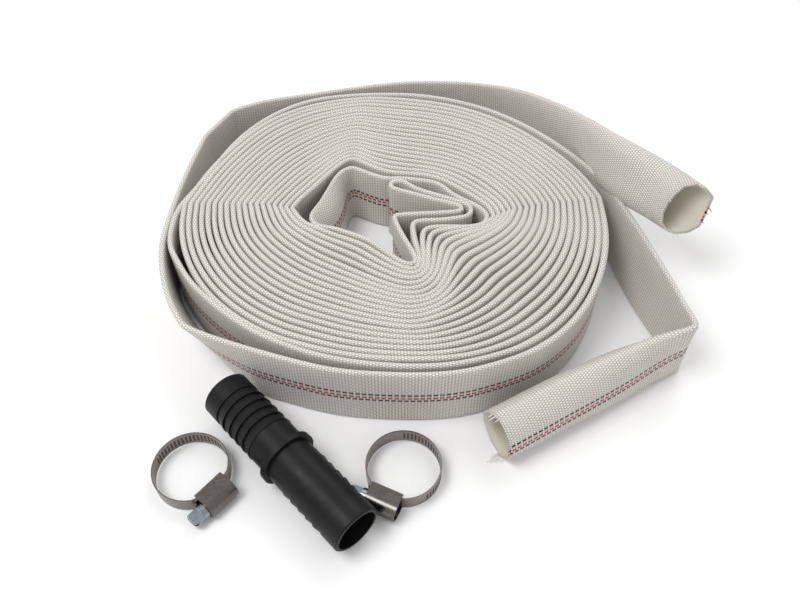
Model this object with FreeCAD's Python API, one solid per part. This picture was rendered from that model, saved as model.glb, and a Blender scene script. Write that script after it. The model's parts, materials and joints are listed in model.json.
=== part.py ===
import FreeCAD, Part
import math
import os

# A rolled lay-flat fire hose with the coupling and the two worm-drive clamps that belong to it.
# Millimetres, +Z up. The origin is the middle of the roll, on the surface that everything lies on.
# The hose is wound double, from its folded middle outwards, and both of its ends come off the outside.

Vector = FreeCAD.Vector

# ---- hose ----
HOSE_RADIUS = 14.0        # outside radius of the hose where it is open and round
JACKET_WALL = 0.7
LINER_WALL = 0.6
HOSE_WALL = JACKET_WALL + LINER_WALL
FLAT_HALF_THICKNESS = 1.8     # half of the thickness of the hose where it lies flat
HOSE_FLAT_WIDTH = math.pi * (HOSE_RADIUS - FLAT_HALF_THICKNESS) + 2 * FLAT_HALF_THICKNESS
ROLL_HEIGHT = HOSE_FLAT_WIDTH
MID_HEIGHT = ROLL_HEIGHT / 2
SLEEVE_LENGTH = 16.0      # straight round stretch at each open end
RUN_SHARE = 0.45          # share of the shorter run that a route's arc takes up
LEAST_SIDE = 0.2          # straight side left on the hose's section where it is round
FOLD_RADIUS = 3.0         # middle radius of the hose where it is folded round a corner

# Corners that the outline of the tightly wound part is rounded from, anticlockwise from the right.
COIL_CORNERS = [
    (126, 20), (98, 61), (45, 103), (-15, 114), (-66, 107), (-103, 62), (-122, 9),
    (-117, -28), (-86, -66), (-50, -97), (-8, -111), (40, -112), (88, -92), (120, -46), (127, -12),
]
CORE_CORNERS = [
    (64, -4), (52, 12), (32, 32), (0, 34), (-25, 49), (-61, 10), (-50, -7), (-15, -26), (16, -44),
    (33, -25),
]

# Loosened turns on the outside of the coil, as routes of the middle of the flat hose.
OUTER_TURN_BACK = [
    (66, 130), (36, 135), (2, 134), (-28, 128), (-78, 115), (-110, 102), (-125, 68), (-133, 30),
    (-133.5, 10),
]
OUTER_TURN_FRONT = [
    (-133.5, 10), (-134, -10), (-126, -50), (-106, -84), (-62, -105), (-10, -116), (42, -117), (94, -98),
    (125, -56), (132, -14), (130, 12),
]
SECOND_TURN = [(-98, 78), (-112, 45), (-128, 8), (-129, -22), (-108, -60), (-62, -97), (-22, -109)]

# The folded middle of the hose, which fills the right of the core.
FOLD_CORNERS = [
    (1, 28), (9, 30), (30, 28), (48, 9), (59, -4), (30, -21), (17.5, -38), (13.5, -38), (1, -4),
]
FOLD_GAPS = [
    [(4, 25), (9, 27), (13, 20)],
    [(18, 26), (28, 25), (34, 18)],
    [(8, 1), (44, 5), (53, -3), (30, -9)],
]

# The lower tail runs flat to a folded corner, turns back and opens out.
LOWER_TAIL_FLAT = [(133, 28), (139, 8), (147, -28), (156, -62), (162, -84), (143, -92), (126, -100)]
LOWER_TAIL_FOLD = 4
LOWER_END = [(126, -100), (108, -108.5), (89, -118), (70, -128.5)]
LOWER_END_OPENING = [FLAT_HALF_THICKNESS, 6, 10, HOSE_RADIUS]

# The upper tail leaves the outer turn, rises over the lower tail and opens out.
UPPER_END = [
    (66, 130, MID_HEIGHT), (89, 119, 24), (109, 92, 34), (123, 62, 48), (134, 34, 57), (145, 14, 59.5),
    (158, -3, 60),
]
UPPER_END_OPENING = [FLAT_HALF_THICKNESS, 2.5, 5, 9, 12.5, 13.5, HOSE_RADIUS]
UPPER_END_HOLLOW_FROM = 4

# ---- coupling ----
COUPLING_LENGTH = 106.0
COUPLING_CENTRE = Vector(-50.6, -149.6, 0)
COUPLING_ANGLE = 133.4
COUPLING_BORE = 11.3
TIP_RADIUS = 13.3
TIP_LENGTH = 11.0
BARB_COUNT = 5
BARB_PITCH = 5.6
BARB_CREST = 13.6
BARB_ROOT = 12.6
LAND_RADIUS = 13.2
COLLAR_RADIUS = 15.6
COLLAR_LENGTH = 3.0
RIM_CHAMFER = 0.8

# ---- worm-drive clamps ----
BAND_WIDTH = 9.0
BAND_THICKNESS = 0.7
BAND_RADIUS = 19.5        # outside radius of the round part of the band
BAND_BLEND = 6.0          # radius where the round part turns into the flat under the housing
LAYER_GAP = 0.1           # between the band's two layers inside the housing
FREE_END_LENGTH = 1.4     # how far the free end stands out of the housing
SLOT_PITCH = 2.1
SLOT_WIDTH = 1.0
SLOT_LENGTH = 5.4
SLOT_COUNT = 24
FIRST_SLOT_ANGLE = 62.0
HOUSING_LENGTH = 17.0
HOUSING_START = -9.7      # where the housing's head end is, along the screw
HOUSING_WIDTH = 11.6
HOUSING_WALL = 0.8
END_WALL = 1.2
WALL_BAND_GAP = 0.2
SADDLE_INSET = 2.0
THREAD_RADIUS = 3.6
ROOT_RADIUS = 2.9
THREAD_PITCH = 2.1
SCREW_BAND_GAP = 0.7
NECK_RADIUS = 2.6
NECK_CLEARANCE = 0.06
AXIAL_PLAY = 0.2
COLLAR_OUTSIDE = 4.1
COLLAR_DEPTH = 2.8
HEAD_ACROSS_FLATS = 7.0
HEAD_LENGTH = 5.8
HEAD_CHAMFER = 0.5
SCREW_SLOT_WIDTH = 1.2
SCREW_SLOT_DEPTH = 1.8

# name: middle of the ring, direction from there to the housing, distance from there to the flat
CLAMPS = {
    "clamp_left": (Vector(-100.2, -151.4, 0), -40.0, 15.6),
    "clamp_right": (Vector(7.9, -150.2, 0), -115.0, 16.6),
}


def save(name, shape):
    """Writes one solid sub-part, and prints its size."""
    box = shape.BoundBox
    print(f"{name}: {len(shape.Solids)} solid, {box.XLength:.1f} x {box.YLength:.1f} x {box.ZLength:.1f}")
    if not shape.isValid():
        print(f"{name} is not valid")
    shape.exportStep(f"parts/{name}.step")


# ---- routes ----
def rounded_corner(before, corner, after, radius=None):
    """The arc that rounds a corner: its start, middle, end and centre."""
    back = before - corner
    ahead = after - corner
    half_turn = (math.pi - back.getAngle(ahead)) / 2
    reach = RUN_SHARE * min(back.Length, ahead.Length)
    if radius is not None:
        reach = min(reach, radius * math.tan(half_turn))
    radius = reach / math.tan(half_turn)
    back.normalize()
    ahead.normalize()
    inwards = (back + ahead).normalize()
    centre = corner + inwards * (radius / math.cos(half_turn))
    return corner + back * reach, centre - inwards * radius, corner + ahead * reach, centre


def route(points, closed=False, folds=()):
    """Straight runs joined by tangent arcs, as (start, middle, end, centre); a straight run has no centre."""
    count = len(points)
    corners = range(count) if closed else range(1, count - 1)
    arcs = []
    for i in corners:
        radius = FOLD_RADIUS if i in folds else None
        arcs.append(rounded_corner(points[i - 1], points[i], points[(i + 1) % count], radius))
    pieces = []
    here = arcs[-1][2] if closed else points[0]
    for start, middle, end, centre in arcs:
        pieces.append((here, (here + start) * 0.5, start, None))
        pieces.append((start, middle, end, centre))
        here = end
    if not closed:
        pieces.append((here, (here + points[-1]) * 0.5, points[-1], None))
    return pieces


def beside(piece, distance):
    """One piece of a flat route, moved sideways to its left."""
    start, middle, end, centre = piece
    if centre is None:
        left = Vector(0, 0, 1).cross(end - start).normalize()
        return Part.LineSegment(start + left * distance, end + left * distance).toShape()
    turns_left = (middle - start).cross(end - middle).z > 0
    radius = (start - centre).Length
    scale = (radius - distance if turns_left else radius + distance) / radius
    return Part.Arc(*[centre + (p - centre) * scale for p in (start, middle, end)]).toShape()


def face_along(pieces, thickness):
    """A strip of one thickness that follows a flat route."""
    left = [beside(piece, thickness / 2) for piece in pieces]
    right = [beside(piece, -thickness / 2) for piece in pieces]
    start_cap = Part.LineSegment(left[0].Vertexes[0].Point, right[0].Vertexes[0].Point).toShape()
    end_cap = Part.LineSegment(left[-1].Vertexes[-1].Point, right[-1].Vertexes[-1].Point).toShape()
    edges = Part.__sortEdges__(left + right + [start_cap, end_cap])
    return Part.Face(Part.Wire(edges))


def on_floor(points):
    return [Vector(x, y, 0) for x, y in points]


def rounded_face(corners):
    """A flat area inside rounded corners."""
    return Part.Face(Part.Wire([beside(piece, 0) for piece in route(on_floor(corners), closed=True)]))


def route_radii(name, points, folds=()):
    """Prints the radius of every bend of a route."""
    pieces = route(on_floor(points), folds=folds)
    radii = [(start - centre).Length for start, middle, end, centre in pieces if centre]
    print(f"{name} radii: " + " ".join(f"{radius:.0f}" for radius in radii))


# ---- hose ----
def flat_hose(points, folds=()):
    """A stretch of flat hose that stands on its edge."""
    strip = face_along(route(on_floor(points), folds=folds), 2 * FLAT_HALF_THICKNESS)
    return strip.extrude(Vector(0, 0, ROLL_HEIGHT))


def coil():
    return rounded_face(COIL_CORNERS).cut(rounded_face(CORE_CORNERS)).extrude(Vector(0, 0, ROLL_HEIGHT))


def core_fold():
    fold = rounded_face(FOLD_CORNERS)
    for gap in FOLD_GAPS:
        fold = fold.cut(rounded_face(gap))
    return fold.extrude(Vector(0, 0, ROLL_HEIGHT))


def level(direction):
    return Vector(direction.x, direction.y, 0).normalize()


def hose_section(centre, direction, half_thickness, inset):
    """The hose's upright outline, opened out to a half thickness, with the same length round it."""
    half_thickness = half_thickness - inset
    side = max(math.pi * (HOSE_RADIUS - inset - half_thickness), LEAST_SIDE)
    across = Vector(0, 0, 1).cross(level(direction))

    def at(across_share, height):
        return centre + across * (across_share * half_thickness) + Vector(0, 0, height)

    top = side / 2
    return Part.Wire([
        Part.LineSegment(at(1, -top), at(1, top)).toShape(),
        Part.Arc(at(1, top), at(0, top + half_thickness), at(-1, top)).toShape(),
        Part.LineSegment(at(-1, top), at(-1, -top)).toShape(),
        Part.Arc(at(-1, -top), at(0, -top - half_thickness), at(1, -top)).toShape(),
    ])


def half_height(half_thickness):
    """Half of the height of the hose where it stands on its edge, opened out to a half thickness."""
    return math.pi * (HOSE_RADIUS - half_thickness) / 2 + half_thickness


def hose_sections(stations, openings, start_direction, inset):
    """The hose's outlines along a stretch that opens out."""
    sections = []
    for i, station in enumerate(stations):
        before = stations[max(i - 1, 0)]
        after = stations[min(i + 1, len(stations) - 1)]
        direction = start_direction if i == 0 else after - before
        sections.append(hose_section(station, direction, openings[i], inset))
    return sections


def open_end(sections, stations, inset):
    """A solid as large as one of the hose's surfaces: the sections' stretch, then a round sleeve."""
    loft = Part.makeLoft(sections, True, True)
    end_direction = level(stations[-1] - stations[-2])
    sleeve = Part.makeCylinder(HOSE_RADIUS - inset, SLEEVE_LENGTH, stations[-1], end_direction)
    return loft.fuse(sleeve).removeSplitter()


def hose_end(stations, openings, start_direction, first=0):
    """The jacket and the liner of one open end, from its first hollow section on."""
    surfaces = []
    for inset in (0, JACKET_WALL, HOSE_WALL):
        sections = hose_sections(stations, openings, start_direction, inset)
        surfaces.append(open_end(sections[first:], stations, inset))
    jacket_outside, liner_outside, liner_inside = surfaces
    return jacket_outside.cut(liner_outside), liner_outside.cut(liner_inside)


def lower_end():
    """The lower end stays on the floor as it opens out."""
    stations = [Vector(x, y, half_height(opening)) for (x, y), opening in zip(LOWER_END, LOWER_END_OPENING)]
    *_, before_last, last = on_floor(LOWER_TAIL_FLAT)
    return hose_end(stations, LOWER_END_OPENING, last - before_last)


def upper_tail():
    """The stretch of the upper tail that leaves the outer turn and rises."""
    stations = [Vector(*point) for point in UPPER_END]
    first, second = on_floor(OUTER_TURN_BACK[:2])
    sections = hose_sections(stations, UPPER_END_OPENING, first - second, 0)
    return Part.makeLoft(sections[:UPPER_END_HOLLOW_FROM + 1], True, True)


def upper_end():
    stations = [Vector(*point) for point in UPPER_END]
    first, second = on_floor(OUTER_TURN_BACK[:2])
    return hose_end(stations, UPPER_END_OPENING, first - second, UPPER_END_HOLLOW_FROM)


# ---- coupling ----
def half_profile():
    """The coupling's outside from its tip to its middle, as (distance from the tip, radius)."""
    points = [(0, TIP_RADIUS - RIM_CHAMFER), (RIM_CHAMFER, TIP_RADIUS), (TIP_LENGTH, TIP_RADIUS)]
    for i in range(BARB_COUNT):
        start = TIP_LENGTH + i * BARB_PITCH
        points.append((start, BARB_ROOT))
        points.append((start + BARB_PITCH, BARB_CREST))
    collar_start = (COUPLING_LENGTH - COLLAR_LENGTH) / 2
    points.append((TIP_LENGTH + BARB_COUNT * BARB_PITCH, LAND_RADIUS))
    points.append((collar_start, LAND_RADIUS))
    points.append((collar_start, COLLAR_RADIUS))
    points.append((COUPLING_LENGTH / 2, COLLAR_RADIUS))
    return points


def coupling():
    outside = half_profile()
    mirrored = [(COUPLING_LENGTH - x, radius) for x, radius in reversed(outside[:-1])]
    bore = [(COUPLING_LENGTH, COUPLING_BORE), (0, COUPLING_BORE)]
    corners = [Vector(x - COUPLING_LENGTH / 2, 0, radius) for x, radius in outside + mirrored + bore]
    body = Part.Face(Part.makePolygon(corners + corners[:1])).revolve(Vector(), Vector(1, 0, 0), 360)
    body.rotate(Vector(), Vector(0, 0, 1), COUPLING_ANGLE)
    body.translate(COUPLING_CENTRE + Vector(0, 0, COLLAR_RADIUS))
    return body


# ---- clamps, built with the ring's axis on Z, its middle at the origin and the housing towards +X ----
def blend_to_flat(flat, side):
    """The arc between the round part of the band and its flat, on one side of the housing."""
    radius = BAND_RADIUS - BAND_THICKNESS / 2
    y = side * math.sqrt((radius - BAND_BLEND) ** 2 - (flat - BAND_BLEND) ** 2)
    centre = Vector(flat - BAND_BLEND, y, 0)
    on_flat = Vector(flat, y, 0)
    on_round = centre * (radius / (radius - BAND_BLEND))
    towards_middle = ((on_flat - centre) + (on_round - centre)).normalize()
    return on_flat, centre + towards_middle * BAND_BLEND, on_round, centre


def band_route(flat):
    """From the end fixed in the housing, round the ring, and back through the housing under the screw."""
    fixed_layer = flat + BAND_THICKNESS / 2
    free_layer = fixed_layer + BAND_THICKNESS + LAYER_GAP
    radius = BAND_RADIUS - BAND_THICKNESS / 2
    fixed_end = Vector(fixed_layer, HOUSING_START + HOUSING_LENGTH - 1.0, 0)
    free_end = Vector(free_layer, HOUSING_START - FREE_END_LENGTH, 0)
    a_flat, a_middle, a_round, a_centre = blend_to_flat(fixed_layer, -1)
    b_flat, b_middle, b_round, b_centre = blend_to_flat(free_layer, 1)
    far = Vector(-radius, 0, 0)
    return [
        (fixed_end, None, a_flat, None),
        (a_flat, a_middle, a_round, a_centre),
        (a_round, far, b_round, Vector()),
        (b_round, b_middle, b_flat, b_centre),
        (b_flat, None, free_end, None),
    ]


def band(flat):
    strip = face_along(band_route(flat), BAND_THICKNESS).extrude(Vector(0, 0, BAND_WIDTH))
    strip.translate(Vector(0, 0, -BAND_WIDTH / 2))
    slot_corner = Vector(BAND_RADIUS - 2, -SLOT_WIDTH / 2, -SLOT_LENGTH / 2)
    slot = Part.makeBox(3, SLOT_WIDTH, SLOT_LENGTH, slot_corner)
    step = math.degrees(SLOT_PITCH / BAND_RADIUS)
    slots = []
    for i in range(SLOT_COUNT):
        turned = slot.copy()
        turned.rotate(Vector(), Vector(0, 0, 1), FIRST_SLOT_ANGLE + i * step)
        slots.append(turned)
    return strip.cut(slots)


def screw_axis(flat):
    """Distance from the middle of the ring to the screw's axis, with the thread just clear of the band."""
    return flat + 2 * BAND_THICKNESS + LAYER_GAP + SCREW_BAND_GAP + THREAD_RADIUS


def domed_bar(base, axis, half_width, start, length):
    """A bar along the screw, with flat sides from its base up to the axis and a round top."""
    low = Vector(base, start, -half_width)
    low_shoulder = Vector(axis, start, -half_width)
    top = Vector(axis + half_width, start, 0)
    high_shoulder = Vector(axis, start, half_width)
    high = Vector(base, start, half_width)
    profile = Part.Wire([
        Part.LineSegment(low, low_shoulder).toShape(),
        Part.Arc(low_shoulder, top, high_shoulder).toShape(),
        Part.LineSegment(high_shoulder, high).toShape(),
        Part.LineSegment(high, low).toShape(),
    ])
    return Part.Face(profile).extrude(Vector(0, length, 0))


def housing(flat):
    """A stamped shell over the screw and the band; its wall at the head's end holds the screw's neck."""
    axis = screw_axis(flat)
    base = flat - HOUSING_WALL
    half_width = HOUSING_WIDTH / 2
    outside = domed_bar(base, axis, half_width, HOUSING_START, HOUSING_LENGTH)
    inside = domed_bar(base, axis, half_width - HOUSING_WALL, HOUSING_START, HOUSING_LENGTH)
    wall_base = flat + 2 * BAND_THICKNESS + LAYER_GAP + WALL_BAND_GAP
    end_wall = domed_bar(wall_base, axis, half_width - HOUSING_WALL, HOUSING_START, END_WALL)
    neck_hole = Part.makeCylinder(
        NECK_RADIUS + NECK_CLEARANCE, END_WALL, Vector(axis, HOUSING_START, 0), Vector(0, 1, 0))
    return outside.cut(inside).fuse(end_wall).cut(neck_hole).removeSplitter()


def saddle(flat):
    """The plate under the band, between the sides of the shell."""
    width = HOUSING_WIDTH - 2 * HOUSING_WALL
    corner = Vector(flat - HOUSING_WALL, HOUSING_START + SADDLE_INSET, -width / 2)
    return Part.makeBox(HOUSING_WALL, HOUSING_LENGTH - 2 * SADDLE_INSET, width, corner)


def screw(flat):
    """The screw: thread, neck, collar and slotted hexagon head."""
    axis = screw_axis(flat)
    tip = HOUSING_START + HOUSING_LENGTH - 1.0
    thread_end = HOUSING_START + END_WALL + AXIAL_PLAY
    collar_face = HOUSING_START - AXIAL_PLAY
    hexagon_face = collar_face - COLLAR_DEPTH
    head_end = hexagon_face - HEAD_LENGTH
    profile = [(0, tip), (ROOT_RADIUS, tip)]
    turns = int((tip - thread_end) / THREAD_PITCH)
    for i in range(turns):
        y = tip - i * THREAD_PITCH
        profile.append((THREAD_RADIUS, y - 0.35 * THREAD_PITCH))
        profile.append((THREAD_RADIUS, y - 0.65 * THREAD_PITCH))
        profile.append((ROOT_RADIUS, y - THREAD_PITCH))
    profile += [
        (ROOT_RADIUS, thread_end), (NECK_RADIUS, thread_end), (NECK_RADIUS, collar_face),
        (COLLAR_OUTSIDE, collar_face), (COLLAR_OUTSIDE, hexagon_face), (0, hexagon_face),
    ]
    corners = [Vector(radius, y, 0) for radius, y in profile]
    shank = Part.Face(Part.makePolygon(corners + corners[:1])).revolve(Vector(), Vector(0, 1, 0), 360)
    corner_radius = HEAD_ACROSS_FLATS / math.sqrt(3)
    corners = []
    for i in range(7):
        angle = math.radians(60 * i)
        corners.append(Vector(corner_radius * math.cos(angle), hexagon_face, corner_radius * math.sin(angle)))
    hexagon = Part.Face(Part.makePolygon(corners)).extrude(Vector(0, -HEAD_LENGTH, 0))
    tip_radius = HEAD_ACROSS_FLATS / 2 - HEAD_CHAMFER
    cone_length = HEAD_LENGTH + corner_radius - tip_radius
    chamfer_cone = Part.makeCone(
        tip_radius + cone_length, tip_radius, cone_length,
        Vector(0, head_end + cone_length, 0), Vector(0, -1, 0))
    slot = Part.makeBox(
        3 * corner_radius, SCREW_SLOT_DEPTH, SCREW_SLOT_WIDTH,
        Vector(-1.5 * corner_radius, head_end, -SCREW_SLOT_WIDTH / 2))
    whole = shank.fuse(hexagon.common(chamfer_cone)).cut(slot)
    whole.translate(Vector(axis, 0, 0))
    return whole


def placed(shape, centre, direction):
    """A clamp's piece, turned and moved to where the clamp lies."""
    shape.rotate(Vector(), Vector(0, 0, 1), direction)
    shape.translate(centre + Vector(0, 0, HOUSING_WIDTH / 2))
    return shape


def main():
    os.makedirs("parts", exist_ok=True)
    save("hose_coil", coil())
    save("hose_core_fold", core_fold())
    save("hose_outer_turn_back", flat_hose(OUTER_TURN_BACK))
    save("hose_outer_turn_front", flat_hose(OUTER_TURN_FRONT))
    save("hose_second_turn", flat_hose(SECOND_TURN))
    save("hose_lower_tail", flat_hose(LOWER_TAIL_FLAT, folds=(LOWER_TAIL_FOLD,)))
    jacket, liner = lower_end()
    save("hose_lower_end_jacket", jacket)
    save("hose_lower_end_liner", liner)
    save("hose_upper_tail", upper_tail())
    jacket, liner = upper_end()
    save("hose_upper_end_jacket", jacket)
    save("hose_upper_end_liner", liner)
    save("coupling", coupling())
    for name, (centre, direction, flat) in CLAMPS.items():
        save(f"{name}_band", placed(band(flat), centre, direction))
        save(f"{name}_housing", placed(housing(flat), centre, direction))
        save(f"{name}_saddle", placed(saddle(flat), centre, direction))
        save(f"{name}_screw", placed(screw(flat), centre, direction))
    route_radii("lower tail", LOWER_TAIL_FLAT, folds=(LOWER_TAIL_FOLD,))
    route_radii("outer turn, back", OUTER_TURN_BACK)
    route_radii("outer turn, front", OUTER_TURN_FRONT)


main()
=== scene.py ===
import json
import math
from collections import namedtuple

import bmesh
import bpy
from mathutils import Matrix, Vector, noise


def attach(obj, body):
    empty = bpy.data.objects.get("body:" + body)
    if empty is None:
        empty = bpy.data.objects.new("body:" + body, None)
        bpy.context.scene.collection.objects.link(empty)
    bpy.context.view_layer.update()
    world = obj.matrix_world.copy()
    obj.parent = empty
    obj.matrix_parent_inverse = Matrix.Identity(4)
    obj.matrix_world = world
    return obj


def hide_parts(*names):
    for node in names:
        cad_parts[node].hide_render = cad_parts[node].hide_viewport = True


# A rolled lay-flat hose seen from its front and above. Metres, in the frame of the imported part.

# ---- hose ----
HOSE_RADIUS = 0.014
ROUND = 2 * math.pi * HOSE_RADIUS     # length round the hose
WALL = 0.0013
FLAT_WIDTH = 0.0419
MID = 0.0210              # height of the middle of a hose that stands on its edge
FLAT = 0.00165            # half of the flat hose's thickness along its folded edges
WAIST = 0.22              # how much thinner the flat hose is in the middle of its width
ARC_STEPS = 8             # mesh steps round each folded edge
SIDE_STEPS = 3            # mesh steps up each half of a side
UPPER_DEPTH = 0.09        # how far in the lining is modelled at each open end
LOWER_DEPTH = 0.06
UPPER_SLANT = 0.75        # how far back the upper end's cut leans, for each unit across it
SLANT_DEPTH = 0.022       # how far from the end a slanted cut changes the sections
RAGGED = 0.0018           # how uneven the cut ends are
YARN_RADIUS = 0.00028
YARN_SIDES = 6
GROOVE_INNER = 0.0190     # radii of the thin steel left at the bottom of the grooves in a clamp's band
GROOVE_OUTER = 0.0193
GROOVE_HALF_WIDTH = 0.0030
GROOVES_START = 58        # degrees round the ring from the housing
GROOVES_END = 208
GROOVE_STEPS = 48
HOUSING_DIRECTIONS = {"clamp_left": -40, "clamp_right": -115}     # degrees, seen from above
LONGEST_STEP = 0.0035     # between two sections of the mesh
SHORTEST_STEP = 0.0004
MOST_TURN = math.radians(9)
DEGREE_SCALE = 0.01       # makes angles about as small as lengths, so that one curve can carry both
CREASE_FROM = 0.004       # a hose with half a thickness under this is flat enough to ripple
CREASE_RANGE = 0.002
MOST_RISE = 0.0009        # how far the turns' edges wander in height
RISE_PACE = 11
SWELL_SHARE = 0.10        # how much the flat hose's thickness varies
SWELL_PACE = 60
FRAY_PACE = 320
YARN_START = 0.0015       # how far inside the end a loose yarn begins
SPLINE_STEPS = 12         # points read from each span of a route's spline

# ---- weave ----
ROWS = 126                # warp yarns round the hose
ROW_PITCH = ROUND / ROWS
REPEAT = 0.00338          # from one float of a warp yarn to its next
FLOAT_HALF_LENGTH = 0.00098
FLOAT_HALF_WIDTH = 0.00036
WEFT_HALF_WIDTH = 0.00080
DASH_LENGTH = 0.0024
DASH_WIDTH = 0.00140
EDGE_BAND = 0.0014        # lighter along each folded edge
MARKER_ROWS = (-4, 0, 3)  # black, red and black yarns, counted from the middle of one side

WARP_LIGHT = (0.94, 0.935, 0.925)
WARP_DULL = (0.82, 0.805, 0.78)
WEFT_COLOUR = (0.55, 0.50, 0.425)
# painted shade: the hollows between the yarns get this dark colour
GAP_SHADE_COLOUR = (0.25, 0.215, 0.165)
BLACK_YARN = (0.004, 0.004, 0.006)
RED_YARN = (0.55, 0.006, 0.02)

# Turns of the coil, anticlockwise from the fan of folds at the front right of the core. Turn 4 is close to
# the middle of the hose, turn 8 is the first even one, and turn 22 is the outline of the tight part.
INNERMOST, EVEN, OUTERMOST = 4, 8, 22
TURN_4 = [
    (0.0222, -0.0366), (0.0225, -0.0258), (0.0235, -0.0186), (0.0276, -0.0146), (0.0385, -0.0127),
    (0.0500, -0.0115), (0.0580, -0.0085), (0.0620, -0.0030), (0.0605, 0.0050), (0.0540, 0.0125),
    (0.0460, 0.0195), (0.0390, 0.0255), (0.0320, 0.0305), (0.0240, 0.0340), (0.0150, 0.0355),
    (0.0060, 0.0360), (-0.0030, 0.0380), (-0.0125, 0.0430), (-0.0240, 0.0515), (-0.0330, 0.0445),
    (-0.0420, 0.0315), (-0.0500, 0.0195), (-0.0558, 0.0115), (-0.0592, 0.0045), (-0.0540, -0.0045),
    (-0.0490, -0.0095), (-0.0405, -0.0138), (-0.0320, -0.0183), (-0.0235, -0.0218), (-0.0150, -0.0260),
    (-0.0070, -0.0330), (0.0010, -0.0395), (0.0080, -0.0440), (0.0135, -0.0450), (0.0170, -0.0425),
]
TURN_8 = [
    (0.0345, -0.0415), (0.0370, -0.0335), (0.0410, -0.0290), (0.0470, -0.0255), (0.0565, -0.0195),
    (0.0650, -0.0130), (0.0715, -0.0055), (0.0750, 0.0035), (0.0730, 0.0120), (0.0675, 0.0200),
    (0.0605, 0.0290), (0.0515, 0.0370), (0.0415, 0.0435), (0.0310, 0.0480), (0.0200, 0.0510),
    (0.0080, 0.0535), (-0.0040, 0.0570), (-0.0145, 0.0610), (-0.0240, 0.0660), (-0.0360, 0.0585),
    (-0.0470, 0.0470), (-0.0580, 0.0340), (-0.0655, 0.0225), (-0.0738, 0.0085), (-0.0698, -0.0040),
    (-0.0650, -0.0135), (-0.0565, -0.0225), (-0.0465, -0.0305), (-0.0365, -0.0370), (-0.0265, -0.0425),
    (-0.0160, -0.0485), (-0.0040, -0.0550), (0.0080, -0.0600), (0.0185, -0.0585), (0.0260, -0.0500),
]
TURN_22 = [
    (0.0640, -0.1075), (0.0770, -0.1010), (0.0910, -0.0905), (0.1040, -0.0760), (0.1140, -0.0590),
    (0.1220, -0.0390), (0.1275, -0.0140), (0.1280, 0.0140), (0.1210, 0.0330), (0.1105, 0.0505),
    (0.0960, 0.0685), (0.0800, 0.0840), (0.0620, 0.0965), (0.0430, 0.1055), (0.0250, 0.1105),
    (0.0100, 0.1130), (-0.0030, 0.1145), (-0.0130, 0.1150), (-0.0210, 0.1145), (-0.0410, 0.1110),
    (-0.0630, 0.1030), (-0.0870, 0.0855), (-0.1110, 0.0480), (-0.1245, 0.0090), (-0.1232, -0.0130),
    (-0.1160, -0.0365), (-0.1025, -0.0595), (-0.0845, -0.0780), (-0.0635, -0.0915), (-0.0420, -0.0990),
    (-0.0220, -0.1045), (-0.0020, -0.1070), (0.0170, -0.1075), (0.0340, -0.1065), (0.0480, -0.1035),
]
KINKED_COLUMNS = (7, 23)       # where every turn is creased: at the right and at the left
LOOSE_COLUMNS = range(1, 7)    # where the turns have room to swell, at the front right
LOOSE_HALF = 0.0021
FIRST_LOOSE_TURN = 5
FULLY_ROUNDED = 5              # turns outside the even one from which a join is rounded in full
JOIN_RISE = 0.10               # how far a join between turns bows outwards, as a share of its length
KINK_SHARE = 0.06              # how far towards the next place the second point of a crease lies

# The innermost turn and the folded middle of the hose, on to the start of turn 4's last stretch.
TURN_3 = [
    (0.0198, -0.0360), (0.0190, -0.0240), (0.0193, -0.0155), (0.0230, -0.0115), (0.0340, -0.0110),
    (0.0460, -0.0115), (0.0550, -0.0095), (0.0585, -0.0040), (0.0570, 0.0020), (0.0510, 0.0080),
    (0.0430, 0.0130), (0.0365, 0.0185), (0.0325, 0.0245), (0.0260, 0.0285), (0.0175, 0.0300),
    (0.0080, 0.0318), (-0.0020, 0.0310), (-0.0100, 0.0340), (-0.0180, 0.0385),
]
ROLLED_PLEAT = [
    (-0.0240, 0.0420, MID, 0, FLAT, 0), (-0.0285, 0.0375, MID, 0, FLAT, 14),
    (-0.0300, 0.0310, MID, 0, FLAT, 32), (-0.0302, 0.0240, MID, 0, FLAT, 50),
    (-0.0315, 0.0165, MID, 0, FLAT, 62), (-0.0340, 0.0090, MID, 0, FLAT, 62),
    (-0.0380, 0.0025, MID, 0, FLAT, 56), (-0.0412, -0.0025, MID, 0, FLAT, 44),
    (-0.0408, -0.0072, MID, 0, FLAT, 24), (-0.0360, -0.0105, MID, 0, FLAT, 8),
    (-0.0300, -0.0138, MID, 0, FLAT, 0),
]
TURN_3_FRONT = [
    (-0.0220, -0.0175), (-0.0130, -0.0215), (-0.0050, -0.0290), (0.0020, -0.0355), (0.0080, -0.0405),
    (0.0135, -0.0415),
]
FOLDED_MIDDLE = [
    (0.0155, -0.0375), (0.0121, -0.0287), (0.0074, -0.0187), (0.0032, -0.0070), (0.0025, -0.0022),
    (0.0060, -0.0012), (0.0140, -0.0005), (0.0258, 0.0002), (0.0400, 0.0012), (0.0432, 0.0032),
    (0.0425, 0.0065), (0.0390, 0.0082), (0.0260, 0.0125), (0.0146, 0.0172), (0.0075, 0.0197),
    (0.0012, 0.0222), (-0.0002, 0.0260), (0.0025, 0.0287), (0.0078, 0.0288), (0.0108, 0.0262),
    (0.0150, 0.0222), (0.0215, 0.0190), (0.0285, 0.0160), (0.0365, 0.0125), (0.0440, 0.0095),
    (0.0487, 0.0060), (0.0487, 0.0010), (0.0465, -0.0022), (0.0425, -0.0036), (0.0300, -0.0058),
    (0.0180, -0.0060), (0.0140, -0.0080), (0.0133, -0.0125), (0.0148, -0.0234), (0.0172, -0.0350),
]

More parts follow.
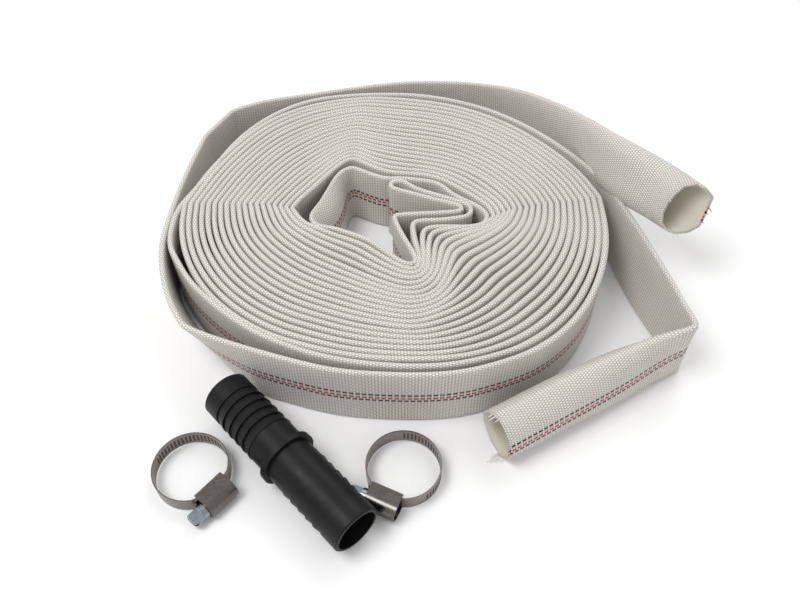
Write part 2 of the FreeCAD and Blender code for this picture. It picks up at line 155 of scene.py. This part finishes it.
# Stations: x, y, height, lean to the right in degrees, half of the thickness and, where the upper half
# is rolled over to the right, how many degrees its edge is turned.
UPPER_TAIL = [
    (0.1690, -0.0158, 0.0592, 28, 0.0101), (0.1600, -0.0030, 0.0586, 27, 0.0092),
    (0.1462, 0.0148, 0.0565, 18, 0.0072), (0.1340, 0.0340, 0.0522, 6, 0.0053),
    (0.1230, 0.0620, 0.0440, 0, 0.0038), (0.1090, 0.0920, 0.0330, 0, 0.0026),
    (0.0890, 0.1190, 0.0240, 0, 0.0022), (0.0660, 0.1300, MID, 0, FLAT),
]
OUTER_TURN = [
    (0.0360, 0.1340, MID, 0, FLAT), (0.0020, 0.1325, MID, 0, FLAT), (-0.0280, 0.1260, MID, 0, FLAT),
    (-0.0550, 0.1190, MID, 0, FLAT), (-0.0810, 0.1130, MID, 0, FLAT), (-0.0970, 0.1070, MID, 0, FLAT),
    (-0.1077, 0.1008, MID, 0, FLAT), (-0.1094, 0.0984, MID, 0, FLAT), (-0.1215, 0.0750, MID, 0, FLAT),
    (-0.1225, 0.0725, MID, 0, FLAT), (-0.1290, 0.0330, MID, 0, FLAT),
    (-0.1320, -0.0050, MID, 0, FLAT), (-0.1322, -0.0250, MID, 0, FLAT), (-0.1275, -0.0420, MID, 4, FLAT),
    (-0.1180, -0.0610, MID, 14, FLAT), (-0.1060, -0.0775, MID, 21, FLAT), (-0.1035, -0.0800, MID, 21, FLAT),
    (-0.0900, -0.0900, MID, 12, FLAT),
    (-0.0720, -0.1010, MID, 0, FLAT), (-0.0510, -0.1080, MID, 0, FLAT), (-0.0300, -0.1140, MID, 0, FLAT),
    (-0.0100, -0.1165, MID, 0, FLAT), (0.0180, -0.1175, MID, 0, FLAT), (0.0400, -0.1155, MID, 0, FLAT),
]
LOWER_TAIL = [
    (0.0560, -0.1362, 0.0145, -14, 0.0128), (0.0700, -0.1285, 0.0150, -13, 0.0124),
    (0.0890, -0.1180, 0.0158, -12, 0.0114), (0.1080, -0.1085, 0.0166, -10, 0.0100),
    (0.1260, -0.1000, 0.0178, -7, 0.0080), (0.1430, -0.0925, 0.0193, -4, 0.0050),
    (0.1560, -0.0890, MID, 0, 0.0022),
    (0.1625, -0.0865, MID, 0, FLAT), (0.1630, -0.0820, MID, 0, FLAT), (0.1600, -0.0720, MID, 0, FLAT),
    (0.1550, -0.0560, MID, 6, FLAT), (0.1475, -0.0280, MID, 8, FLAT), (0.1400, 0.0050, MID, 4, FLAT),
    (0.1335, 0.0270, MID, 0, FLAT),
]
SECOND_TURN = [
    (0.1250, 0.0430, MID, 0, FLAT), (0.1120, 0.0610, MID, 0, FLAT), (0.0980, 0.0765, MID, 0, FLAT),
    (0.0800, 0.0925, MID, 0, FLAT), (0.0620, 0.1040, MID, 0, FLAT), (0.0400, 0.1130, MID, 0, FLAT),
    (0.0200, 0.1180, MID, 0, FLAT), (0.0000, 0.1195, MID, 0, FLAT), (-0.0200, 0.1190, MID, 0, FLAT),
    (-0.0450, 0.1155, MID, 0, FLAT), (-0.0640, 0.1085, MID, 0, FLAT), (-0.0850, 0.0915, MID, 0, FLAT),
    (-0.1020, 0.0675, MID, 0, FLAT), (-0.1155, 0.0320, MID, 0, FLAT), (-0.1268, 0.0070, MID, 0, FLAT),
    (-0.1272, 0.0040, MID, 0, FLAT),
    (-0.1290, -0.0040, MID, 0, FLAT), (-0.1280, -0.0260, MID, 0, FLAT), (-0.1195, -0.0410, MID, 0, FLAT),
    (-0.1105, -0.0550, MID, 0, FLAT), (-0.0980, -0.0680, MID, 0, FLAT), (-0.0840, -0.0805, MID, 0, FLAT),
    (-0.0660, -0.0925, MID, 0, FLAT), (-0.0440, -0.1025, MID, 0, FLAT), (-0.0220, -0.1085, MID, 0, FLAT),
    (0.0000, -0.1115, MID, 0, FLAT), (0.0200, -0.1120, MID, 0, FLAT), (0.0380, -0.1100, MID, 0, FLAT),
]

Section = namedtuple("Section", "centre side up half along share curl")

# Loose yarns: place round the rim as a share, length, sag and material (0 white, 1 red, 2 black).
UPPER_YARNS = [
    (0.24, 0.0040, 0.0004, 0), (0.27, 0.0030, 0.0000, 0), (0.44, 0.0040, 0.0010, 1),
    (0.47, 0.0030, 0.0008, 2), (0.53, 0.0035, 0.0012, 1), (0.72, 0.0035, 0.0020, 0),
    (0.75, 0.0045, 0.0026, 0), (0.02, 0.0025, 0.0008, 0),
]
LOWER_YARNS = [
    (0.70, 0.0060, 0.0020, 0), (0.72, 0.0085, 0.0026, 0), (0.735, 0.0100, 0.0030, 0),
    (0.75, 0.0070, 0.0030, 0), (0.22, 0.0040, 0.0010, 0), (0.25, 0.0055, 0.0004, 0),
    (0.28, 0.0035, 0.0006, 0), (0.50, 0.0030, 0.0010, 2), (0.53, 0.0036, 0.0012, 1),
    (0.95, 0.0028, 0.0010, 0),
]

# ---- studio ----
CAMERA_PLACE = (0.006, -0.342, 0.368)
CAMERA_TILT = math.radians(40)
LENS = 35.28
SENSOR = 36
FLOOR_HALF = 3
SKY_STRENGTH = 0.70
KEY_LAMP = ("key", (-0.5, -0.25, 1.1), 0.6, 7)     # name, place, size and power
BACK_LAMP = ("back", (0.4, 0.7, 1.0), 0.7, 3.5)


def smooth_line(stations):
    """Even spline points through the stations, read back from two Blender curves."""
    readings = []
    places = [station[:3] for station in stations]
    shapes = []
    for lean, half, *curl in (station[3:] for station in stations):
        shapes.append((lean * DEGREE_SCALE, half, curl[0] * DEGREE_SCALE if curl else 0))
    for values in (places, shapes):
        data = bpy.data.curves.new("route", "CURVE")
        data.dimensions = "3D"
        spline = data.splines.new("NURBS")
        spline.points.add(len(values) - 1)
        for point, value in zip(spline.points, values):
            point.co = (*value, 1)
        spline.order_u = 3
        spline.use_endpoint_u = True
        spline.resolution_u = SPLINE_STEPS
        route = bpy.data.objects.new("route", data)
        mesh = bpy.data.meshes.new_from_object(route)
        readings.append([vertex.co.copy() for vertex in mesh.vertices])
        bpy.data.objects.remove(route)
    line = []
    for index, (place, more) in enumerate(zip(*readings)):
        lean, curl = math.radians(more.x / DEGREE_SCALE), math.radians(more.z / DEGREE_SCALE)
        line.append((place, lean, more.y, index / len(readings[0]), curl))
    return line


def resample(line):
    """The same line with steps that get shorter where it bends."""
    kept = [line[0]]
    heading = (line[1][0] - line[0][0]).normalized()
    for before, here in zip(line, line[1:-1]):
        step = here[0] - before[0]
        far = (here[0] - kept[-1][0]).length
        bend = heading.angle(step.normalized()) if step.length > 1e-7 else 0
        if far > LONGEST_STEP or (bend > MOST_TURN and far > SHORTEST_STEP):
            kept.append(here)
            heading = step.normalized()
    kept.append(line[-1])
    return kept


def turn(number):
    """The stations of one turn, blended between the ones given."""
    inner, outer, share = TURN_8, TURN_22, (number - EVEN) / (OUTERMOST - EVEN)
    if number < EVEN:
        inner, outer, share = TURN_4, TURN_8, (number - INNERMOST) / (EVEN - INNERMOST)
    places = []
    for (x, y), (outer_x, outer_y) in zip(inner, outer):
        places.append((x + (outer_x - x) * share, y + (outer_y - y) * share))
    creased = []
    for column, (here, after) in enumerate(zip(places, places[1:] + places[-1:])):
        half = LOOSE_HALF if column in LOOSE_COLUMNS and number > FIRST_LOOSE_TURN else FLAT
        creased.append((*here, MID, 0, half))
        if column in KINKED_COLUMNS:
            x, y = (start + (end - start) * KINK_SHARE for start, end in zip(here, after))
            creased.append((x, y, MID, 0, half))
    return creased


def round_off(stations, first, share):
    """Moves the four stations after the first one towards an arc between the ones either side of them."""
    start, end = (Vector(stations[index][:2]) for index in (first, first + 5))
    outward = Vector((end.y - start.y, start.x - end.x)) * JOIN_RISE
    for step in range(1, 5):
        along = step / 5
        arc = start.lerp(end, along) + outward * 4 * along * (1 - along)
        place = Vector(stations[first + step][:2]).lerp(arc, share)
        stations[first + step] = (*place, *stations[first + step][2:])


def coil(numbers):
    """The stations of a strand's turns, with the place where each turn runs into the next one rounded."""
    stations = [station for number in numbers for station in turn(number)]
    for count, number in enumerate(numbers[1:], 1):
        join = count * len(turn(number))
        round_off(stations, join - 3, min(max((number - EVEN) / FULLY_ROUNDED, 0), 1))
    return stations


def standing(places):
    return [(x, y, MID, 0, FLAT) for x, y in places]


def ring_places():
    """Lengths round the hose at which a section has its points, dense along both folded edges."""
    half_side = math.pi * (HOSE_RADIUS - FLAT) / 2
    arc = math.pi * FLAT
    half_ring = [half_side * step / SIDE_STEPS for step in range(SIDE_STEPS)]
    half_ring += [half_side + arc * step / ARC_STEPS for step in range(ARC_STEPS)]
    half_ring += [half_side + arc + half_side * step / SIDE_STEPS for step in range(SIDE_STEPS)]
    return half_ring + [place + ROUND / 2 for place in half_ring]


def section_point(place, half, wall):
    """Across and up from the middle of the section; half is half of the hose's thickness there, and
    wall is how far inside the outer face the point lies."""
    turned = 1
    if place >= ROUND / 2:
        place -= ROUND / 2
        turned = -1
    straight = math.pi * (HOSE_RADIUS - half)
    arc = math.pi * half
    past_corner = place - straight / 2
    if 0 < past_corner < arc:
        angle = past_corner / half
        out = (wall - half) * math.cos(angle)
        return out * turned, (straight / 2 + (half - wall) * math.sin(angle)) * turned
    up = place if past_corner <= 0 else straight - place + arc
    flatness = ((HOSE_RADIUS - half) / (HOSE_RADIUS - FLAT)) ** 3 if half < HOSE_RADIUS else 0
    waist = 1 - WAIST * flatness * (1 - (2 * up / straight) ** 2) if straight > 0.001 else 1
    side = -1 if past_corner <= 0 else 1
    return side * (half * waist - wall) * turned, up * turned


def sections(stations, seed):
    """Centre, side and up directions, half thickness, length along, share of the stations passed, and how
    far the upper half is rolled over."""
    line = resample(smooth_line(stations))
    made = []
    along = 0
    for index, (place, lean, half, share, curl) in enumerate(line):
        before = line[max(0, index - 1)][0]
        after = line[min(len(line) - 1, index + 1)][0]
        forward = (after - before).normalized()
        side = forward.cross(Vector((0, 0, 1))).normalized()
        level_up = side.cross(forward)
        up = level_up * math.cos(lean) + side * math.sin(lean)
        side = side * math.cos(lean) - level_up * math.sin(lean)
        if index:
            along += (place - before).length
        flat = min(1, max(0, (CREASE_FROM - half) / CREASE_RANGE))
        wander = noise.noise(Vector((along * RISE_PACE, seed, 0.5)))
        rise = MOST_RISE * flat * (0.5 + 0.5 * wander)
        swell = 1 + SWELL_SHARE * flat * noise.noise(Vector((along * SWELL_PACE, seed, 7.5)))
        raised = place + Vector((0, 0, rise))
        made.append(Section(raised, side, up, half * swell, along, share, curl))
    return made


def finish_piece(name, shape, body, materials):
    """The object made from a bmesh, with its materials, riding on a body."""
    bmesh.ops.recalc_face_normals(shape, faces=shape.faces)
    mesh = bpy.data.meshes.new(name)
    shape.to_mesh(mesh)
    shape.free()
    made = bpy.data.objects.new(name, mesh)
    bpy.context.scene.collection.objects.link(made)
    for material in materials:
        mesh.materials.append(material)
    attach(made, body)
    return made


def hose_piece(name, part, marker_side, open_depth=0, slant=0):
    """A closed mesh of part of the hose. With an open depth it starts with an open end, whose cut lies
    slanted by the share given."""
    places = ring_places()
    count = len(places)
    shape = bmesh.new()
    layer = shape.loops.layers.uv.new("hose_uv")
    shift = 0 if marker_side == "right" else ROUND / 2

    def add_ring(section, wall, frayed=0):
        centre, side, up, half = section[:4]
        points = []
        for place in places:
            across, height = section_point(place, half, wall)
            curl = section.curl * max(0, height) / FLAT_WIDTH * 2
            across, over = across * math.cos(curl), -across * math.sin(curl)
            if height > 0 and abs(curl) > 0.001:
                across += height * (1 - math.cos(curl)) / curl
                over += height * math.sin(curl) / curl
                height = 0
            ragged = noise.noise(Vector((place * FRAY_PACE, part[0].centre.x * 50, 0)))
            uneven = side.cross(up) * frayed * ragged
            if open_depth and section.along < SLANT_DEPTH:
                uneven += side.cross(up) * across * slant * (1 - section.along / SLANT_DEPTH)
            points.append(shape.verts.new(centre + side * across + up * (height + over) + uneven))
        return points

    def add_cap(around):
        for edge in shape.faces.new(around).edges:
            edge.smooth = False

    def join(first, second, first_along, second_along, slot):
        for index in range(count):
            after = (index + 1) % count
            low = places[index] + shift
            high = (places[after] if after else ROUND) + shift
            face = shape.faces.new((first[index], first[after], second[after], second[index]))
            face.smooth = True
            face.material_index = slot
            corners = ((first_along, low), (first_along, high), (second_along, high), (second_along, low))
            for loop, uv in zip(face.loops, corners):
                loop[layer].uv = uv

    rings = [add_ring(part[0], 0, RAGGED if open_depth else 0)]
    rings += [add_ring(section, 0) for section in part[1:]]
    for index in range(len(part) - 1):
        join(rings[index], rings[index + 1], part[index].along, part[index + 1].along, 0)
    add_cap(rings[-1])
    if open_depth:
        inside = [section for section in part if section.along - part[0].along < open_depth]
        inner = [add_ring(section, WALL, 0 if index else RAGGED) for index, section in enumerate(inside)]
        join(inner[0], rings[0], part[0].along - WALL, part[0].along, 0)
        for index in range(len(inside) - 1):
            join(inner[index + 1], inner[index], inside[index + 1].along, inside[index].along, 1)
        add_cap(inner[-1])
    else:
        add_cap(rings[0])
    made = finish_piece(name, shape, "hose", (HOSE, LINER))
    return made, (FLAT_WIDTH, part[-1].along - part[0].along)


def frayed_yarns(name, section, yarns, slant=0):
    """Loose yarns at an open end, each from (place round the rim, length, sag, material)."""
    centre, side, up, half = section[:4]
    outward = side.cross(up)
    shape = bmesh.new()
    for place, length, sag, slot in yarns:
        across, height = section_point(place * ROUND, half, WALL / 2)
        root = centre + side * across + up * height + outward * (across * slant - YARN_START)
        tip = root + outward * length + Vector((0, 0, -sag))
        tip.z = max(tip.z, YARN_RADIUS * 1.5)
        middle = (root + tip) / 2 + Vector((0, 0, sag * 0.35))
        rings = []
        for place_on, radius in ((root, YARN_RADIUS), (middle, YARN_RADIUS * 1.1), (tip, YARN_RADIUS * 0.5)):
            rings.append([])
            for step in range(YARN_SIDES):
                angle = 2 * math.pi * step / YARN_SIDES
                offset = side * math.cos(angle) + up * math.sin(angle)
                rings[-1].append(shape.verts.new(place_on + offset * radius))
        for first, second in zip(rings, rings[1:]):
            for step in range(YARN_SIDES):
                after = (step + 1) % YARN_SIDES
                face = shape.faces.new((first[step], first[after], second[after], second[step]))
                face.smooth = True
                face.material_index = slot
        for end in (rings[0], rings[-1]):
            shape.faces.new(end).material_index = slot
    return finish_piece(name, shape, "hose", YARNS)


def groove_floor(clamp, facing):
    """The bottom of the grooves in a clamp's band: a thin strip inside the band's own thickness."""
    mounts = {mount["name"]: mount for mount in frame["record"]["mounts"]}
    centre = Vector(mounts[clamp + "_ring"]["pos_m"])
    shape = bmesh.new()
    rings = []
    for step in range(GROOVE_STEPS + 1):
        past_start = (GROOVES_END - GROOVES_START) * step / GROOVE_STEPS
        angle = math.radians(facing + GROOVES_START + past_start)
        outward = Vector((math.cos(angle), math.sin(angle), 0))
        rings.append([])
        for radius, height in ((GROOVE_INNER, -1), (GROOVE_OUTER, -1), (GROOVE_OUTER, 1), (GROOVE_INNER, 1)):
            place = centre + outward * radius + Vector((0, 0, height * GROOVE_HALF_WIDTH))
            rings[-1].append(shape.verts.new(place))
    for first, second in zip(rings, rings[1:]):
        for corner in range(4):
            after = (corner + 1) % 4
            shape.faces.new((first[corner], first[after], second[after], second[corner]))
    shape.faces.new(rings[0])
    shape.faces.new(rings[-1])
    # painted shade: the groove bottoms are given the darker steel
    finish_piece(clamp + "_band_grooves", shape, clamp, (GROOVE_SHADED_STEEL,))


def cut(strand, first, last):
    """The sections of a strand between two shares of its stations, both ends included."""
    start = next(index for index, section in enumerate(strand) if section.share >= first)
    past = (index for index, section in enumerate(strand) if section.share >= last)
    return strand[start:next(past, len(strand) - 1) + 1]


# ---- materials ----
def new_material(name):
    material = bpy.data.materials.new(name)
    material.use_nodes = True
    return material, material.node_tree, material.node_tree.nodes["Principled BSDF"]


def add_node(tree, kind, settings, inputs):
    """A node with its settings and its inputs, each a value or another node's output."""
    made = tree.nodes.new(kind)
    for name, value in settings.items():
        setattr(made, name, value)
    for key, value in inputs.items():
        if isinstance(value, bpy.types.NodeSocket):
            tree.links.new(value, made.inputs[key])
        else:
            made.inputs[key].default_value = value
    return made


def calculate(tree, operation, first, second=0.0, third=0.0):
    inputs = {0: first, 1: second, 2: third}
    return add_node(tree, "ShaderNodeMath", {"operation": operation}, inputs).outputs[0]


def blend(tree, share, first, second):
    made = add_node(tree, "ShaderNodeMix", {"data_type": "RGBA"}, {"Factor": share})
    for socket, value in zip(made.inputs[6:8], (first, second)):
        if isinstance(value, bpy.types.NodeSocket):
            tree.links.new(value, socket)
        else:
            socket.default_value = (*value, 1)
    return made.outputs[2]


def spots(tree, place, scale, detail=3.0):
    inputs = {"Vector": place, "Scale": scale, "Detail": detail}
    return add_node(tree, "ShaderNodeTexNoise", {}, inputs).outputs[0]


def dome(tree, along, across):
    """Height of a rounded float, 1 in its middle and 0 beyond one unit away."""
    along_squared = calculate(tree, "MULTIPLY", along, along)
    away = calculate(tree, "MULTIPLY_ADD", across, across, along_squared)
    left = calculate(tree, "SUBTRACT", 1.0, away)
    return calculate(tree, "SQRT", calculate(tree, "MAXIMUM", left, 0.0))


def weave_material():
    material, tree, shader = new_material("hose_weave")
    uv = add_node(tree, "ShaderNodeUVMap", {"uv_map": "hose_uv"}, {}).outputs[0]
    parts = add_node(tree, "ShaderNodeSeparateXYZ", {}, {0: uv}).outputs
    around = calculate(tree, "MODULO", parts[1], ROUND)
    rows = calculate(tree, "DIVIDE", around, ROW_PITCH)
    row = calculate(tree, "FLOOR", rows)
    in_row = calculate(tree, "SUBTRACT", calculate(tree, "FRACT", rows), 0.5)
    stagger = calculate(tree, "MULTIPLY", calculate(tree, "MODULO", row, 2.0), 0.5)
    repeats = calculate(tree, "ADD", calculate(tree, "DIVIDE", parts[0], REPEAT), stagger)
    in_float = calculate(tree, "SUBTRACT", calculate(tree, "FRACT", repeats), 0.5)
    half_on = calculate(tree, "FRACT", calculate(tree, "ADD", repeats, 0.5))
    in_gap = calculate(tree, "SUBTRACT", half_on, 0.5)
    float_along = calculate(tree, "MULTIPLY", in_float, REPEAT / FLOAT_HALF_LENGTH)
    float_across = calculate(tree, "MULTIPLY", in_row, ROW_PITCH / FLOAT_HALF_WIDTH)
    warp = dome(tree, float_along, float_across)
    weft_along = calculate(tree, "MULTIPLY", in_gap, REPEAT / WEFT_HALF_WIDTH)
    weft = dome(tree, weft_along, 0.0)
    weft_height = calculate(tree, "MULTIPLY", weft, 0.55)
    height = calculate(tree, "MAXIMUM", warp, weft_height)

    broad = spots(tree, uv, 35.0)
    fibres = spots(tree, uv, 5000.0, 1.0)
    warp_colour = blend(tree, broad, WARP_LIGHT, WARP_DULL)
    # painted shade: the colour darkens from each weft rib to the dark gap colour in the hollows between yarns
    colour = blend(tree, weft, GAP_SHADE_COLOUR, WEFT_COLOUR)
    warp_share = calculate(tree, "MINIMUM", calculate(tree, "MULTIPLY", warp, 1.6), 1.0)
    colour = blend(tree, warp_share, colour, warp_colour)
    for number, dye in zip(MARKER_ROWS, (BLACK_YARN, RED_YARN, BLACK_YARN)):
        phase = calculate(tree, "ADD", calculate(tree, "DIVIDE", parts[0], REPEAT), 0.5 * (number % 2))
        off_middle = calculate(tree, "SUBTRACT", calculate(tree, "FRACT", phase), 0.5)
        dash = calculate(tree, "LESS_THAN", calculate(tree, "ABSOLUTE", off_middle), DASH_LENGTH / REPEAT / 2)
        this_row = calculate(tree, "COMPARE", rows, ROWS / 2 + number + 0.5, DASH_WIDTH / ROW_PITCH / 2)
        colour = blend(tree, calculate(tree, "MULTIPLY", this_row, dash), colour, dye)
    half_rounds = calculate(tree, "FRACT", calculate(tree, "DIVIDE", around, ROUND / 2))
    off_edge = calculate(tree, "ABSOLUTE", calculate(tree, "SUBTRACT", half_rounds, 0.5))
    on_edge = calculate(tree, "LESS_THAN", off_edge, EDGE_BAND / ROUND)
    colour = blend(tree, calculate(tree, "MULTIPLY", on_edge, 0.12), colour, WARP_LIGHT)
    rough = calculate(tree, "MULTIPLY_ADD", fibres, 0.25, 0.38)
    bump = add_node(tree, "ShaderNodeBump", {}, {"Strength": 0.9, "Distance": 0.00035, "Height": height})
    tree.links.new(colour, shader.inputs["Base Color"])
    tree.links.new(rough, shader.inputs["Roughness"])
    tree.links.new(bump.outputs[0], shader.inputs["Normal"])
    return material


def surface_material(name, light, dark, rough, grain, depth, metallic=0, stretch=(1, 1, 1), shine=0.5):
    """A material whose colour, gloss and fine relief vary with noise, stretched along one direction."""
    material, tree, shader = new_material(name)
    place = add_node(tree, "ShaderNodeTexCoord", {}, {}).outputs["Object"]
    stretched = add_node(tree, "ShaderNodeMapping", {}, {"Vector": place, "Scale": stretch}).outputs[0]
    fine = spots(tree, stretched, grain)
    broad = spots(tree, place, 60.0)
    smear = spots(tree, place, 240.0)
    mixed = calculate(tree, "MULTIPLY_ADD", fine, 0.5, calculate(tree, "MULTIPLY", broad, 0.5))
    tree.links.new(blend(tree, mixed, dark, light), shader.inputs["Base Color"])
    spread = calculate(tree, "MULTIPLY_ADD", smear, 0.18, rough - 0.09)
    tree.links.new(calculate(tree, "MULTIPLY_ADD", fine, 0.1, spread), shader.inputs["Roughness"])
    bump = add_node(tree, "ShaderNodeBump", {}, {"Strength": 0.5, "Distance": depth, "Height": fine})
    tree.links.new(bump.outputs[0], shader.inputs["Normal"])
    shader.inputs["Metallic"].default_value = metallic
    shader.inputs["Specular IOR Level"].default_value = shine
    return material


def dress(nodes, material):
    for name in nodes:
        for slot in frame["nodes"][name].material_slots:
            slot.material = material


# ---- studio ----
def aim_camera():
    data = bpy.data.cameras.new("camera")
    data.lens = LENS
    data.sensor_width = SENSOR
    camera = bpy.data.objects.new("camera", data)
    camera.location = CAMERA_PLACE
    camera.rotation_euler = (CAMERA_TILT, 0, 0)
    bpy.context.scene.collection.objects.link(camera)
    bpy.context.scene.camera = camera


def lay_floor():
    mesh = bpy.data.meshes.new("floor")
    corners = [(x * FLOOR_HALF, y * FLOOR_HALF, 0) for x, y in ((-1, -1), (1, -1), (1, 1), (-1, 1))]
    mesh.from_pydata(corners, [], [(0, 1, 2, 3)])
    floor = bpy.data.objects.new("floor", mesh)
    bpy.context.scene.collection.objects.link(floor)
    paper = surface_material("floor_paper", (0.93, 0.93, 0.93), (0.90, 0.90, 0.90),
                             rough=0.9, grain=900, depth=0.00002)
    mesh.materials.append(paper)
    return floor


def add_lamp(name, place, size, power):
    data = bpy.data.lights.new(name, "AREA")
    data.shape = "DISK"
    data.size = size
    data.energy = power
    lamp = bpy.data.objects.new(name, data)
    lamp.location = place
    lamp.rotation_euler = (-Vector(place)).to_track_quat("-Z", "Y").to_euler()
    bpy.context.scene.collection.objects.link(lamp)
    return lamp


def light_room():
    world = bpy.data.worlds.new("studio")
    world.use_nodes = True
    sky = world.node_tree.nodes["Background"].inputs
    sky["Color"].default_value = (1, 1, 1, 1)
    sky["Strength"].default_value = SKY_STRENGTH
    bpy.context.scene.world = world
    bpy.context.scene.view_settings.view_transform = "Standard"
    return [add_lamp(*lamp) for lamp in (KEY_LAMP, BACK_LAMP)]


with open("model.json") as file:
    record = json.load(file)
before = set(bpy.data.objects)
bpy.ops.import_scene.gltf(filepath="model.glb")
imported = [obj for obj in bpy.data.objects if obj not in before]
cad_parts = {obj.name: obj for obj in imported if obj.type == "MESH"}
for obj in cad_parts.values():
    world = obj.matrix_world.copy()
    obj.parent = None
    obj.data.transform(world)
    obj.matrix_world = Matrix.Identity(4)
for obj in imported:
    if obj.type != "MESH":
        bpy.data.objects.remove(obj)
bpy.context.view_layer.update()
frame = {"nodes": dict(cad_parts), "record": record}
HOSE = weave_material()
LINER = surface_material("hose_liner", (0.66, 0.62, 0.54), (0.56, 0.52, 0.44),
                         rough=0.6, grain=700, depth=0.0001)
PLASTIC = surface_material("coupling_plastic", (0.009, 0.009, 0.010), (0.003, 0.003, 0.0035),
                           rough=0.40, grain=900, depth=0.00006, shine=0.22)
BAND = surface_material("band_steel", (0.30, 0.27, 0.245), (0.12, 0.105, 0.092),
                        rough=0.22, grain=900, depth=0.00001, metallic=1, stretch=(1, 1, 8))
SHELL = surface_material("housing_steel", (0.22, 0.205, 0.188), (0.08, 0.074, 0.067),
                         rough=0.20, grain=700, depth=0.00001, metallic=1)
# the strip is the band's own steel; its much darker colour is painted shade at the bottom of the grooves
GROOVE_SHADED_STEEL = surface_material("groove_steel_painted_shade", (0.10, 0.088, 0.076), (0.04, 0.035, 0.03),
                          rough=0.35, grain=900, depth=0.00001, metallic=1)
ZINC = surface_material("screw_zinc", (0.44, 0.48, 0.51), (0.12, 0.14, 0.165),
                        rough=0.20, grain=700, depth=0.00001, metallic=1)
YARNS = [
    surface_material(name, light, dark, rough=0.5, grain=4000, depth=0.00005)
    for name, light, dark in (
        ("loose_yarn", (0.88, 0.87, 0.84), (0.66, 0.62, 0.55)),
        ("loose_red_yarn", RED_YARN, (0.30, 0.01, 0.015)),
        ("loose_black_yarn", (0.02, 0.02, 0.02), BLACK_YARN),
    )
]

dress(["coupling"], PLASTIC)
for side in ("left", "right"):
    dress([f"clamp_{side}_band"], BAND)
    dress([f"clamp_{side}_housing", f"clamp_{side}_saddle"], SHELL)
    dress([f"clamp_{side}_screw"], ZINC)

for clamp, facing in HOUSING_DIRECTIONS.items():
    groove_floor(clamp, facing)

# The two halves of the hose, each from its open end to the folded middle.
middle = standing(TURN_3) + ROLLED_PLEAT + standing(TURN_3_FRONT + FOLDED_MIDDLE)
first_coil = coil(range(OUTERMOST, INNERMOST - 1, -2))
second_coil = coil(range(OUTERMOST - 1, INNERMOST, -2))
first_stations = UPPER_TAIL + OUTER_TURN + first_coil + standing(FOLDED_MIDDLE[-1:])
second_stations = LOWER_TAIL + SECOND_TURN + second_coil + middle
first_strand = sections(first_stations, 1.5)
second_strand = sections(second_stations, 8.5)
first_count = len(first_stations)
second_count = len(second_stations)
upper_end = len(UPPER_TAIL) / first_count
outer_end = (len(UPPER_TAIL) + len(OUTER_TURN)) / first_count
lower_end = len(LOWER_TAIL) / second_count
second_end = (len(LOWER_TAIL) + len(SECOND_TURN)) / second_count
core_start = 1 - len(middle) / second_count

upper, upper_flat = hose_piece("hose_upper_tube", cut(first_strand, 0, upper_end), "right",
                               UPPER_DEPTH, UPPER_SLANT)
outer, outer_flat = hose_piece("hose_outer_loop", cut(first_strand, upper_end, outer_end), "right")
first, first_flat = hose_piece("hose_coil_first_strand", cut(first_strand, outer_end, 2), "right")
lower, lower_flat = hose_piece("hose_lower_tube", cut(second_strand, 0, lower_end), "right", LOWER_DEPTH)
loop, loop_flat = hose_piece("hose_second_loop", cut(second_strand, lower_end, second_end), "right")
second_part = cut(second_strand, second_end, core_start)
second, second_flat = hose_piece("hose_coil_second_strand", second_part, "right")
core, core_flat = hose_piece("hose_folded_core", cut(second_strand, core_start, 2), "left")

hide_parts("hose_upper_tail", "hose_upper_end_jacket", "hose_upper_end_liner")
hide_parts("hose_outer_turn_back", "hose_outer_turn_front")
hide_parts("hose_coil")
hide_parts("hose_lower_tail", "hose_lower_end_jacket", "hose_lower_end_liner")
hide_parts("hose_second_turn")
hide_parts("hose_core_fold")

upper_yarns = frayed_yarns("hose_upper_yarns", first_strand[0], UPPER_YARNS, UPPER_SLANT)
lower_yarns = frayed_yarns("hose_lower_yarns", second_strand[0], LOWER_YARNS)

aim_camera()
lay_floor()
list(light_room())
